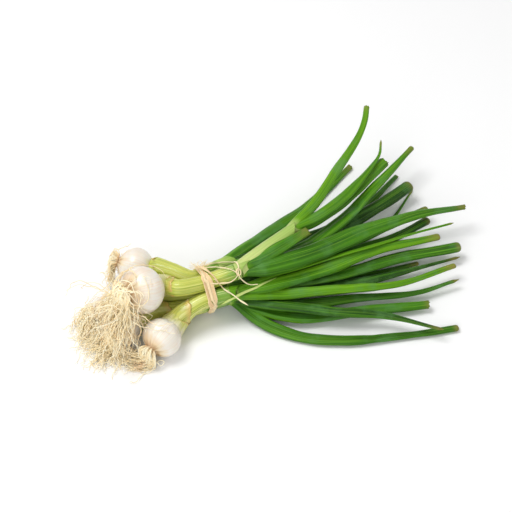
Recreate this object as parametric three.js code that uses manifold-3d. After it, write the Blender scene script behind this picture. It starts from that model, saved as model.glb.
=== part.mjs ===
import * as THREE from 'three';
import { mergeVertices } from 'three/addons/utils/BufferGeometryUtils.js';
import Module from 'manifold-3d';

// A bunch of five young onions with their leaves, lying on its side and tied with raffia.
// Millimetres, +Z up, roots towards -X and leaf tips towards +X. The tie stands at x = 0.

const wasm = await Module();
wasm.setup();

const TIE_HEIGHT = 26;
const SLOT_RADIUS = 13.5;
const PLATE_SHARE = 0.88;
const NODE_GAP = 0.4;
const LEAF_GAP = 1.1;
const LEAF_STEPS = 40;
const LEAF_RINGS = 14;
const LEAF_SIDES = 8;
const BULB_SIDES = 16;
const ROOT_COUNT = 17;
const ROOT_RADIUS = 0.65;
const ROOT_STEPS = 5;
const ROOT_LOW = 1.1;
const RAFFIA_WIDTH = 3.4;
const RAFFIA_THICKNESS = 1.2;

// Each onion: bulb centre, bulb radius, the way its roots point, its place in the tie
// (degrees round the bunch), stem radius, where the stem ends, and its leaves.
// Each leaf: name, width, width at the tip, points it passes, how it ends.
const ONIONS = [
  {
    id: 5, shoulder: 0.58, rootLength: 38, bulb: [-86, 23, 11.5], radius: 13,
    rootWay: [-0.97, 0.15, 0.10], slot: 314, stem: 7.4,
    between: [[-50, 22, 12.5], [-26, 15, 14]], fork: [18, 9, 17],
    leaves: [
      ['f', 10, 5, [[60, 20, 10], [120, 30, 7], [174, 50, 3], [231, 81, 2]], 'cut'],
      ['h', 6, 2.2, [[70, 14, 6], [130, 16, 3], [192, 26, 2], [237, 59, 1]], 'point'],
      ['i', 10.5, 6.5, [[60, 8, 14], [120, 9, 11], [181, 15, 14], [232, 21, 16]], 'round'],
      ['v', 10, 5, [[62, -4, 8], [115, -17, 5], [165, -25, 4], [200, -28, 4]], 'round'],
      ['k', 13, 9, [[69, -4, 22], [129, -6, 21], [193, -2, 20], [224, 4, 20]], 'round'],
    ],
  },
  {
    id: 4, shoulder: 0.56, rootLength: 38, bulb: [-78, -5, 13.3], radius: 15,
    rootWay: [-0.93, -0.33, 0.14], slot: 242, stem: 7.4,
    between: [[-50, 4, 12.5], [-29, 0, 11]], fork: [16, -7, 15],
    leaves: [
      ['s', 11, 7, [[37, -33, 6], [67, -66, 2], [100, -83, 2], [151, -98, 2], [200, -108, 2]], 'round'],
      ['r', 13, 8.5, [[41, -25, 9], [73, -47, 7], [117, -59, 7], [186, -77, 7]], 'cut'],
      ['q', 9, 4, [[77, -33, 8], [132, -48, 8], [186, -63, 9], [219, -64, 10]], 'point'],
      ['t', 11, 3, [[51, -29, 17], [98, -58, 17], [138, -77, 15], [181, -110, 14]], 'point'],
      ['o', 10.5, 3, [[60, -16, 12], [112, -27, 9], [179, -35, 8], [235, -38, 8]], 'point'],
    ],
  },
  {
    id: 2, shoulder: 0.66, rootLength: 36, bulb: [-52, -29, 16.5], radius: 18,
    rootWay: [-0.84, -0.54, -0.05], slot: 170, stem: 7.5,
    between: [[-23, -15.5, 25]], fork: [18, -15, 29],
    leaves: [
      ['p', 10.5, 5.5, [[54, -25, 22], [107, -37, 19], [165, -52, 17], [225, -52, 16]], 'round'],
      ['n', 12, 10, [[60, -14, 18], [113, -21, 16], [184, -23, 14], [239, -31, 14]], 'round'],
      ['m', 13.5, 6.5, [[60, -19, 28], [106, -17, 25], [160, -13, 24], [224, -19, 22]], 'round'],
      ['l', 4, 2.2, [[70, -13, 33], [130, -13, 32], [189, -11, 28], [240, -13, 28]], 'point'],
    ],
  },
  {
    id: 3, shoulder: 0.66, rootLength: 44, bulb: [-50, 47, 28.5], radius: 18,
    rootWay: [-0.80, 0.56, 0.2], slot: 26, stem: 7.5,
    between: [[-34, 37, 31], [-22, 25, 34]], fork: [18, 14, 33],
    leaves: [
      ['U', 13, 6, [[45, 31, 24], [97, 57, 12], [143, 81, 2], [194, 110, 2]], 'cut'],
      ['g', 14.5, 11.5, [[60, 20, 26], [102, 22, 24], [150, 27, 22], [190, 38, 20], [228, 52, 18]], 'round'],
      ['e', 14.5, 5.5, [[60, 8, 32], [100, 6, 34], [143, 23, 34], [193, 53, 34], [246, 84, 34]], 'round'],
    ],
  },
  {
    id: 1, shoulder: 0.55, rootLength: 60, bulb: [-57, 5, 47], radius: 21,
    rootWay: [-0.86, -0.22, 0.42], slot: 98, stem: 7.6,
    between: [[-25, -1, 42]], fork: [28, -4, 43], upper: [[28, -4, 43], [56, 6, 46], [92, 17, 50]],
    leaves: [
      ['y', 12, 8.5, [[48, -2, 47], [76, 3, 50], [104, 10, 51]], 'cut'],
      ['j', 17.5, 6, [[60, -10, 42], [111, -5, 38], [165, 3, 35], [215, 5, 32], [261, 1, 28]], 'cut'],
      ['d', 15.5, 12, [[118, 25, 46], [163, 45, 40], [213, 75, 34]], 'cut', 'upper'],
      ['c', 10, 2.2, [[122, 24, 50], [160, 42, 46], [195, 68, 43], [210, 81, 43], [216, 91, 46]],
        'point', 'upper'],
      ['b', 12, 6.5, [[122, 36, 55], [156, 62, 60], [194, 94, 64], [206, 108, 66], [213, 120, 68]],
        'cut', 'upper'],
    ],
  },
];

const vec = (p) => new THREE.Vector3(p[0], p[1], p[2]);

function ease(t) {
  const c = Math.min(Math.max(t, 0), 1);
  return c * c * (3 - 2 * c);
}

function spaced(points, steps) {
  const curve = new THREE.CatmullRomCurve3(points, false, 'centripetal');
  return { points: curve.getSpacedPoints(steps), length: curve.getLength() };
}

function slotPoint(angle, x) {
  const a = THREE.MathUtils.degToRad(angle);
  return new THREE.Vector3(x, SLOT_RADIUS * Math.cos(a), TIE_HEIGHT + SLOT_RADIUS * Math.sin(a));
}

// One closed geometry from a three.js shape: seams joined, no thin triangles, facing out.
function clean(shape) {
  shape.deleteAttribute('normal');
  shape.deleteAttribute('uv');
  const joined = mergeVertices(shape, 1e-4);
  const index = joined.index.array;
  const kept = [];
  for (let i = 0; i < index.length; i += 3) {
    const [a, b, c] = [index[i], index[i + 1], index[i + 2]];
    if (a !== b && b !== c && a !== c) {
      kept.push(a, b, c);
    }
  }
  const at = joined.attributes.position;
  const corner = [new THREE.Vector3(), new THREE.Vector3(), new THREE.Vector3()];
  let volume = 0;
  for (let i = 0; i < kept.length; i += 3) {
    for (let k = 0; k < 3; k += 1) {
      corner[k].fromBufferAttribute(at, kept[i + k]);
    }
    volume += corner[0].dot(corner[1].cross(corner[2]));
  }
  if (volume < 0) {
    for (let i = 0; i < kept.length; i += 3) {
      [kept[i + 1], kept[i + 2]] = [kept[i + 2], kept[i + 1]];
    }
  }
  joined.setIndex(kept);
  return joined;
}

// Round body along a route. A row has a centre, a sideways and an upward half size.
function sweep(rows, sides) {
  const profile = rows.map((row, k) => new THREE.Vector2(k === 0 || k === rows.length - 1 ? 0 : 1, k));
  const shape = new THREE.LatheGeometry(profile, sides);
  const at = shape.attributes.position;
  const up = new THREE.Vector3(0, 0, 1);
  const frames = rows.map((row, k) => {
    const ahead = rows[Math.min(k + 1, rows.length - 1)].centre;
    const behind = rows[Math.max(k - 1, 0)].centre;
    const way = (row.way ?? ahead.clone().sub(behind)).clone().normalize();
    const side = (row.side ?? way.clone().cross(up)).clone();
    side.addScaledVector(way, -side.dot(way)).normalize();
    return { side, rise: side.clone().cross(way) };
  });
  for (let i = 0; i < at.count; i += 1) {
    const row = rows[Math.round(at.getY(i))];
    const frame = frames[Math.round(at.getY(i))];
    const p = row.centre.clone();
    p.addScaledVector(frame.side, at.getX(i) * row.wide);
    p.addScaledVector(frame.rise, at.getZ(i) * row.high);
    at.setXYZ(i, p.x, p.y, row.floor === undefined ? p.z : Math.max(p.z, row.floor));
  }
  return clean(shape);
}

// Rows along points, with a pole at each end and an optional length of tip beyond.
function rowsAlong(points, sizes, tip) {
  const last = points.length - 1;
  const rows = points.map((centre, k) => ({ centre, wide: sizes[k][0], high: sizes[k][1] }));
  const startWay = points[1].clone().sub(points[0]).normalize();
  const endWay = points[last].clone().sub(points[last - 1]).normalize();
  rows[0].way = startWay;
  rows[last].way = endWay;
  const tipPoint = points[last].clone().addScaledVector(endWay, tip);
  rows.unshift({ centre: points[0].clone(), wide: 0, high: 0, way: startWay });
  rows.push({ centre: tipPoint, wide: 0, high: 0, way: endWay });
  return rows;
}

function toManifold(shape) {
  const mesh = new wasm.Mesh({
    numProp: 3,
    vertProperties: new Float32Array(shape.attributes.position.array),
    triVerts: new Uint32Array(shape.index.array),
  });
  return new wasm.Manifold(mesh);
}

function fuse(shapes) {
  let body = toManifold(shapes[0]);
  for (const shape of shapes.slice(1)) {
    body = body.add(toManifold(shape));
  }
  const mesh = body.simplify(0.03).getMesh();
  const fused = new THREE.BufferGeometry();
  fused.setAttribute('position', new THREE.BufferAttribute(new Float32Array(mesh.vertProperties), 3));
  fused.setIndex(Array.from(mesh.triVerts));
  return clean(fused);
}

// Radius of bulb and stem at a distance from the root plate: a ball, then a cone down to the tie.
function bulbRadius(onion, s) {
  const r = onion.radius;
  const t = s / (2 * r * PLATE_SHARE);
  const body = t < 1 ? r * Math.sqrt(Math.max(0, 1 - (2 * t - 1) ** 2)) : 0;
  const reach = r * PLATE_SHARE + vec(onion.bulb).distanceTo(slotPoint(onion.slot, -8));
  const left = 1 - ease((s - 1.3 * r) / (reach - 1.3 * r));
  const cone = onion.stem + (r * onion.shoulder - onion.stem) * left ** 1.2;
  return Math.max(body, s > 1.2 * r ? cone : 0, 0.3 * r);
}

function rootDirection(onion) {
  return vec(onion.rootWay).normalize();
}

function stemRoute(onion) {
  const centre = vec(onion.bulb);
  const way = rootDirection(onion);
  const points = [
    centre.clone().addScaledVector(way, onion.radius * PLATE_SHARE),
    centre,
    centre.clone().addScaledVector(way, -onion.radius * 1.25),
    ...onion.between.map(vec),
    slotPoint(onion.slot, -8),
    slotPoint(onion.slot, 6),
    vec(onion.fork),
  ];
  return spaced(points, LEAF_STEPS);
}

// Half width and half thickness of a leaf at a share of its length.
function leafSize(width, tipWidth, share) {
  const base = width > 5 ? Math.max(0.8 * width, 0.36 * width + 4.4) : width * 1.2;
  const grown = base + (width - base) * ease(share / 0.25);
  const wide = grown + (tipWidth - grown) * ease((share - 0.35) / 0.65) ** 1.3;
  const flat = 0.95 - 0.33 * ease(share / 0.35) + 0.15 * ease((share - 0.8) / 0.2);
  return [wide / 2, (wide * flat) / 2];
}

// All stems and leaves as strands; only leaves can be moved when the bunch is laid down.
function strandsOf(onions) {
  const strands = [];
  for (const onion of onions) {
    const route = stemRoute(onion);
    const still = new Array(LEAF_STEPS + 1).fill(0);
    strands.push({
      onion, kind: 'stem', name: 'stem', route: route.points, length: route.length, free: still,
      sizes: route.points.map((p, k) => {
        const radius = bulbRadius(onion, (route.length * k) / LEAF_STEPS);
        return [radius, radius];
      }),
    });
    const last = route.points[LEAF_STEPS];
    const stemWay = last.clone().sub(route.points[LEAF_STEPS - 1]).normalize();
    let upperEnd = null;
    if (onion.upper) {
      const upper = spaced(onion.upper.map(vec), LEAF_STEPS);
      strands.push({
        onion, kind: 'upper', name: 'upper', route: upper.points, length: upper.length, free: still,
        sizes: upper.points.map((p, k) => {
          const radius = 7.4 - (1.2 * k) / LEAF_STEPS;
          return [radius, radius * 0.93];
        }),
      });
      upperEnd = upper.points[LEAF_STEPS - 2];
    }
    const lowerEnd = last.clone().addScaledVector(stemWay, 5);
    for (const [name, width, tipWidth, points, end, from] of onion.leaves) {
      const start = (from === 'upper' ? upperEnd : lowerEnd).clone();
      const lean = vec(points[0]).sub(start);
      lean.addScaledVector(stemWay, -lean.dot(stemWay)).clampLength(0, 0.42 * onion.stem);
      const leaf = spaced([start.add(lean), ...points.map(vec)], LEAF_STEPS);
      strands.push({
        onion, kind: 'leaf', name, end, tipWidth, route: leaf.points, length: leaf.length,
        free: leaf.points.map((p, k) => ease(((leaf.length * k) / LEAF_STEPS - 2) / 24)),
        sizes: leaf.points.map((p, k) => leafSize(width, tipWidth, k / LEAF_STEPS)),
      });
    }
  }
  return strands;
}

// Nearest approach of a point of one strand to another strand, as a share of their sizes.
function contact(strand, k, other) {
  const p = strand.now[k];
  let best = null;
  for (let m = 0; m < LEAF_STEPS; m += 1) {
    const a = other.now[m];
    const b = other.now[m + 1];
    const dx = b.x - a.x;
    const dy = b.y - a.y;
    const along = ((p.x - a.x) * dx + (p.y - a.y) * dy) / (dx * dx + dy * dy + 1e-9);
    const t = Math.min(Math.max(along, 0), 1);
    const ox = p.x - (a.x + dx * t);
    const oy = p.y - (a.y + dy * t);
    const oz = p.z - (a.z + (b.z - a.z) * t);
    const [wideA, highA] = other.sizes[m];
    const [wideB, highB] = other.sizes[m + 1];
    const wide = strand.sizes[k][0] + wideA + (wideB - wideA) * t + LEAF_GAP;
    const high = strand.sizes[k][1] + highA + (highB - highA) * t + LEAF_GAP;
    const share = Math.sqrt((ox * ox + oy * oy) / (wide * wide) + (oz * oz) / (high * high)) + 1e-6;
    if (!best || share < best.share) {
      best = { share, x: ox / (wide * wide), y: oy / (wide * wide), z: oz / (high * high) };
    }
  }
  return best;
}

// Leaves that would pass through each other push apart, a little in each round.
function layDown(strands, rounds) {
  for (const strand of strands) {
    strand.now = strand.route.map((p) => p.clone());
  }
  const leaves = strands.filter((strand) => strand.kind === 'leaf');
  for (let round = 0; round < rounds; round += 1) {
    const pushes = leaves.map(() => new Array(LEAF_STEPS + 1).fill(null));
    leaves.forEach((leaf, n) => {
      for (let k = 0; k <= LEAF_STEPS; k += 1) {
        const push = new THREE.Vector3();
        for (const other of strands) {
          const same = other.onion === leaf.onion;
          const skip = other === leaf || (same && other.kind !== 'leaf')
            || (same && (leaf.length * k) / LEAF_STEPS < 40);
          if (!skip) {
            const touch = contact(leaf, k, other);
            if (touch.share < 1) {
              const grad = new THREE.Vector3(touch.x, touch.y, touch.share < 0.02 ? 0.02 : touch.z);
              const step = grad.clone().multiplyScalar(((1 - touch.share) * touch.share) / grad.lengthSq());
              step.clampLength(0, 1.5);
              push.addScaledVector(step, other.kind === 'leaf' ? 0.5 : 0.9);
            }
          }
        }
        pushes[n][k] = push;
      }
    });
    const late = round >= rounds * 0.8;
    leaves.forEach((leaf, n) => {
      let shift = leaf.now.map((p, k) => {
        const moved = p.clone().addScaledVector(pushes[n][k], leaf.free[k]).sub(leaf.route[k]);
        return moved.multiplyScalar(late ? 1 : 0.99);
      });
      for (let pass = 0; pass < (late ? 1 : 2); pass += 1) {
        const smooth = late ? 0.25 : 0.5;
        shift = shift.map((d, k) => {
          if (leaf.free[k] === 0) {
            return new THREE.Vector3();
          }
          if (k === LEAF_STEPS) {
            return d.clone().lerp(shift[k - 1], smooth);
          }
          return d.clone().lerp(shift[k - 1].clone().add(shift[k + 1]).multiplyScalar(0.5), smooth);
        });
      }
      leaf.now = leaf.route.map((p, k) => {
        const q = p.clone().add(shift[k]);
        q.z = Math.max(q.z, leaf.sizes[k][1]);
        return q;
      });
    });
  }
}

function bulbShape(onion) {
  const route = stemRoute(onion);
  const curve = new THREE.CatmullRomCurve3(route.points, false, 'centripetal');
  const r = onion.radius;
  const marks = [];
  for (let k = 0; k < 9; k += 1) {
    marks.push(r * PLATE_SHARE * (1 - Math.cos((Math.PI * (k + 0.4)) / 10)));
  }
  const from = marks[marks.length - 1];
  for (let k = 1; k <= 10; k += 1) {
    marks.push(from + (route.length - from) * (k / 10) ** 1.25);
  }
  const points = marks.map((s) => curve.getPointAt(Math.min(s / route.length, 1)));
  const sizes = marks.map((s) => [bulbRadius(onion, s), bulbRadius(onion, s)]);
  const rows = rowsAlong(points, sizes, 0);
  for (const row of rows) {
    row.floor = 0;
  }
  return sweep(rows, BULB_SIDES);
}

function leafShape(leaf) {
  const points = [];
  const sizes = [];
  for (let n = 0; n <= LEAF_RINGS; n += 1) {
    const k = Math.round((n * LEAF_STEPS) / LEAF_RINGS);
    points.push(leaf.now[k]);
    sizes.push(leaf.sizes[k]);
  }
  const tips = { cut: 0, round: 0.35 * leaf.tipWidth, point: 1.6 * leaf.tipWidth };
  return sweep(rowsAlong(points, sizes, tips[leaf.end]), LEAF_SIDES);
}

// The green sheath that the leaves of an onion come out of.
function collarShape(onion) {
  const route = stemRoute(onion).points;
  const end = route[LEAF_STEPS];
  const way = end.clone().sub(route[LEAF_STEPS - 1]).normalize();
  const points = [NODE_GAP, 5, 10, 14].map((s) => end.clone().addScaledVector(way, s));
  const sizes = [1, 0.99, 0.93, 0.75].map((share) => [onion.stem * share, onion.stem * share]);
  return sweep(rowsAlong(points, sizes, 3), 12);
}

function leavesShape(onion, strands) {
  const own = strands.filter((strand) => strand.onion === onion);
  const shapes = [collarShape(onion)];
  for (const strand of own) {
    if (strand.kind === 'leaf') {
      shapes.push(leafShape(strand));
    }
    if (strand.kind === 'upper') {
      const points = strand.now.filter((p, k) => k >= 6 && k % 8 === 6);
      const sizes = strand.sizes.filter((size, k) => k >= 6 && k % 8 === 6);
      shapes.push(sweep(rowsAlong(points, sizes, 4), 12));
    }
  }
  return fuse(shapes);
}

// Seeded random numbers from 0 to 1.
function randomFrom(seed) {
  let state = seed;
  return () => {
    state = (Math.imul(state, 1664525) + 1013904223) >>> 0;
    return state / 4294967296;
  };
}

// First course of each root: out of the plate, then sinking to the ground.
function rootRoutes(onion) {
  const random = randomFrom(811 * onion.id + 29);
  const out = rootDirection(onion);
  const plate = vec(onion.bulb).addScaledVector(out, onion.radius * PLATE_SHARE + 1.6);
  const side = out.clone().cross(new THREE.Vector3(0, 0, 1)).normalize();
  const rise = side.clone().cross(out);
  const routes = [];
  for (let n = 0; n < ROOT_COUNT; n += 1) {
    const turn = n * 2.399963 + 0.3 * random();
    const ring = Math.sqrt((n + 0.5) / ROOT_COUNT);
    const spread = 0.2 + 1.05 * ring;
    const radial = side.clone().multiplyScalar(Math.cos(turn)).addScaledVector(rise, Math.sin(turn));
    const way = out.clone().multiplyScalar(Math.cos(spread)).addScaledVector(radial, Math.sin(spread));
    way.z = Math.min(way.z, 0.2);
    const length = onion.rootLength * (0.7 + 0.5 * random());
    const step = length / ROOT_STEPS;
    const points = [plate.clone().addScaledVector(radial, 0.22 * onion.radius * ring)];
    for (let k = 1; k <= ROOT_STEPS; k += 1) {
      way.add(new THREE.Vector3(random() - 0.55, random() - 0.6, random() - 1.45).multiplyScalar(0.5));
      way.normalize();
      const next = points[k - 1].clone().addScaledVector(way, step);
      next.z = Math.max(next.z, ROOT_LOW + 4 * random());
      points.push(next);
    }
    routes.push({ onion, points, step });
  }
  return routes;
}

// Roots are pushed off bulbs, stems and the roots of the other onions.
function layRoots(routes, strands) {
  const stems = strands.filter((strand) => strand.kind === 'stem');
  const clear = 2 * ROOT_RADIUS + 1.2;
  const near = new THREE.Vector3();
  const far = new THREE.Vector3();
  for (let round = 0; round < 60; round += 1) {
    for (const root of routes) {
      for (let k = 1; k <= ROOT_STEPS; k += 1) {
        const p = root.points[k];
        const part = new THREE.Line3(root.points[k - 1], p);
        for (const stem of stems) {
          stem.route.forEach((centre, m) => {
            part.closestPointToPoint(centre, true, near);
            const reach = stem.sizes[m][0] + ROOT_RADIUS + 1;
            const away = near.sub(centre);
            if (away.length() < reach) {
              p.add(away.setLength((reach - away.length()) * 0.7));
            }
          });
        }
        for (const other of routes) {
          for (let m = 0; m < ROOT_STEPS && other.onion !== root.onion; m += 1) {
            const line = new THREE.Line3(other.points[m], other.points[m + 1]);
            const apart = Math.sqrt(part.distanceSqToLine3(line, near, far));
            if (apart < clear) {
              p.add(near.sub(far).setLength((clear - apart) * 0.6));
            }
          }
        }
        const away = p.clone().sub(root.points[k - 1]).setLength(root.step);
        p.copy(root.points[k - 1]).add(away);
        p.z = Math.max(p.z, ROOT_LOW);
      }
    }
  }
}

function rootsShape(onion, routes) {
  const out = rootDirection(onion);
  const start = vec(onion.bulb).addScaledVector(out, onion.radius * PLATE_SHARE);
  const points = [NODE_GAP + 0.1, 1.4, 3].map((s) => start.clone().addScaledVector(out, s));
  const plateSize = 0.3 * onion.radius;
  const sizes = [0.95, 1, 0.7].map((share) => [plateSize * share, plateSize * share]);
  const shapes = [sweep(rowsAlong(points, sizes, 0.8), 10)];
  for (const root of routes.filter((route) => route.onion === onion)) {
    const curve = new THREE.CatmullRomCurve3(root.points, false, 'centripetal');
    const frames = curve.computeFrenetFrames(ROOT_STEPS, false);
    const centres = curve.getSpacedPoints(ROOT_STEPS);
    const rootSizes = centres.map((p, k) => {
      const radius = ROOT_RADIUS * (1.15 - (0.35 * k) / ROOT_STEPS);
      return [radius, radius];
    });
    const rows = rowsAlong(centres, rootSizes, 1);
    rows.forEach((row, k) => {
      const n = Math.min(Math.max(k - 1, 0), ROOT_STEPS);
      row.way = frames.tangents[n];
      row.side = frames.normals[n];
    });
    shapes.push(sweep(rows, 3));
  }
  return fuse(shapes);
}

// Point on the tight line round all stems at the tie, at an angle and a distance off them.
function wrapPoint(onions, angle, off, x) {
  const normal = new THREE.Vector3(0, Math.cos(angle), Math.sin(angle));
  let best = null;
  for (const onion of onions) {
    const centre = slotPoint(onion.slot, x);
    const reach = centre.dot(normal) + onion.stem;
    if (!best || reach > best.reach) {
      best = { reach, point: centre.addScaledVector(normal, onion.stem + off) };
    }
  }
  return best.point;
}

// One flat strand of raffia closed round the stems.
function bandShape(onions, x, wave, phase) {
  const shape = new THREE.TorusGeometry(2, 1, 4, 32);
  const at = shape.attributes.position;
  for (let i = 0; i < at.count; i += 1) {
    const turn = Math.atan2(at.getY(i), at.getX(i));
    const off = Math.hypot(at.getX(i), at.getY(i)) - 2;
    const sideways = x + wave * Math.sin(2 * turn + phase);
    const p = wrapPoint(onions, turn, NODE_GAP + 0.3 + RAFFIA_THICKNESS * 0.5 * (1 + off), 0);
    p.x = sideways + (at.getZ(i) * RAFFIA_WIDTH) / 2;
    at.setXYZ(i, p.x, p.y, p.z);
  }
  return clean(shape);
}

function strandShape(points, width, thickness, steps) {
  const curve = new THREE.CatmullRomCurve3(points, false, 'centripetal');
  const centres = curve.getSpacedPoints(steps);
  const sizes = centres.map(() => [width / 2, thickness / 2]);
  return sweep(rowsAlong(centres, sizes, 0.4), 5);
}

function tieShape(onions) {
  const over = (angle, off, x) => {
    const p = wrapPoint(onions, THREE.MathUtils.degToRad(angle), off, 0);
    return p.setX(x);
  };
  const shapes = [bandShape(onions, -1.4, 1.3, 0), bandShape(onions, 1.4, 1.3, Math.PI)];
  const loose = [
    [over(58, 1.2, -2), over(66, 2.6, 3), vec([15, 3, 50.8]), vec([30, 0, 53.2]), vec([33, -6, 53]),
      vec([28, -11, 50.4]), vec([15, -10, 47.6]), over(128, 2.4, 3), over(138, 1.2, -2)],
    [over(40, 1.3, 3), over(52, 2.9, 0.5), over(66, 3, -2), over(76, 1.3, -4)],
    [over(46, 1.3, -4), over(56, 3.2, -1.5), over(68, 3, 1.5), over(80, 1.3, 4)],
    [over(58, 2, -1), over(52, 4, -7), vec([-13, 17, 46])],
    [over(60, 2, 1), over(70, 4, -5), vec([-10, 8, 49])],
    [over(150, 1.2, 1), over(158, 2.6, 7), vec([20, -22, 37]), vec([34, -24, 37])],
  ];
  for (const points of loose) {
    shapes.push(strandShape(points, 2.2, 1.2, 2 * points.length));
  }
  return fuse(shapes);
}

function material(color, roughness) {
  return new THREE.MeshStandardMaterial({ color, roughness, metalness: 0 });
}

function named(name, shape, color, roughness) {
  const mesh = new THREE.Mesh(shape, material(color, roughness));
  mesh.name = name;
  return mesh;
}

const strands = strandsOf(ONIONS);
layDown(strands, 60);
const rootCourses = ONIONS.flatMap(rootRoutes);
layRoots(rootCourses, strands);

const bunch = new THREE.Group();
bunch.name = 'onion_bunch';
for (const onion of [...ONIONS].sort((a, b) => a.id - b.id)) {
  bunch.add(named(`onion_${onion.id}_bulb`, bulbShape(onion), 0xf1ecda, 0.35));
  bunch.add(named(`onion_${onion.id}_roots`, rootsShape(onion, rootCourses), 0xd8bf8d, 0.85));
  bunch.add(named(`onion_${onion.id}_leaves`, leavesShape(onion, strands), 0x3f7d33, 0.5));
}
bunch.add(named('raffia_tie', tieShape(ONIONS), 0xc79a5b, 0.8));

// The frame: middle of the box in X and Y at the origin, lowest point on z = 0.
const box = new THREE.Box3().setFromObject(bunch);
bunch.position.set(-(box.min.x + box.max.x) / 2, -(box.min.y + box.max.y) / 2, -box.min.z);

export default bunch;
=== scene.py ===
import math
import bpy
import numpy as np
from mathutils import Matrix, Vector


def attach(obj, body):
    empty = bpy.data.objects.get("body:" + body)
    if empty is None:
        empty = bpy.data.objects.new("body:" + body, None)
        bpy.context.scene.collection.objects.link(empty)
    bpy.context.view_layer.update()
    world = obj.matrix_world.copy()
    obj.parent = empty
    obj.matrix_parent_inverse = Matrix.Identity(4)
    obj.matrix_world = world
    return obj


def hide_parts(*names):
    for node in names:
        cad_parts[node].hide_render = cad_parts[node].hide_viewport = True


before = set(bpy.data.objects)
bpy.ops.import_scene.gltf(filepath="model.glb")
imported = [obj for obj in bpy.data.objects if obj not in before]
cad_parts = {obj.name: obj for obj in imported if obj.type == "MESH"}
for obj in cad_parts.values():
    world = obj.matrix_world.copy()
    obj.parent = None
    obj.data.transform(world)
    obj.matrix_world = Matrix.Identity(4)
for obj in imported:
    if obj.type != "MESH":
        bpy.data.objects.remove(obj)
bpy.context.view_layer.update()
print("frame loaded")

# The layout is in millimetres with the tie at x = 0. The shift moves it into the frame.
bunch = {
    "shift": (-68.85, -4.31, 0.0),
    "tieHeight": 26.0,
    "tieEnds": (-8, 6),
    "slotRadius": 13.5,
    "steps": 40,
}

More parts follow.
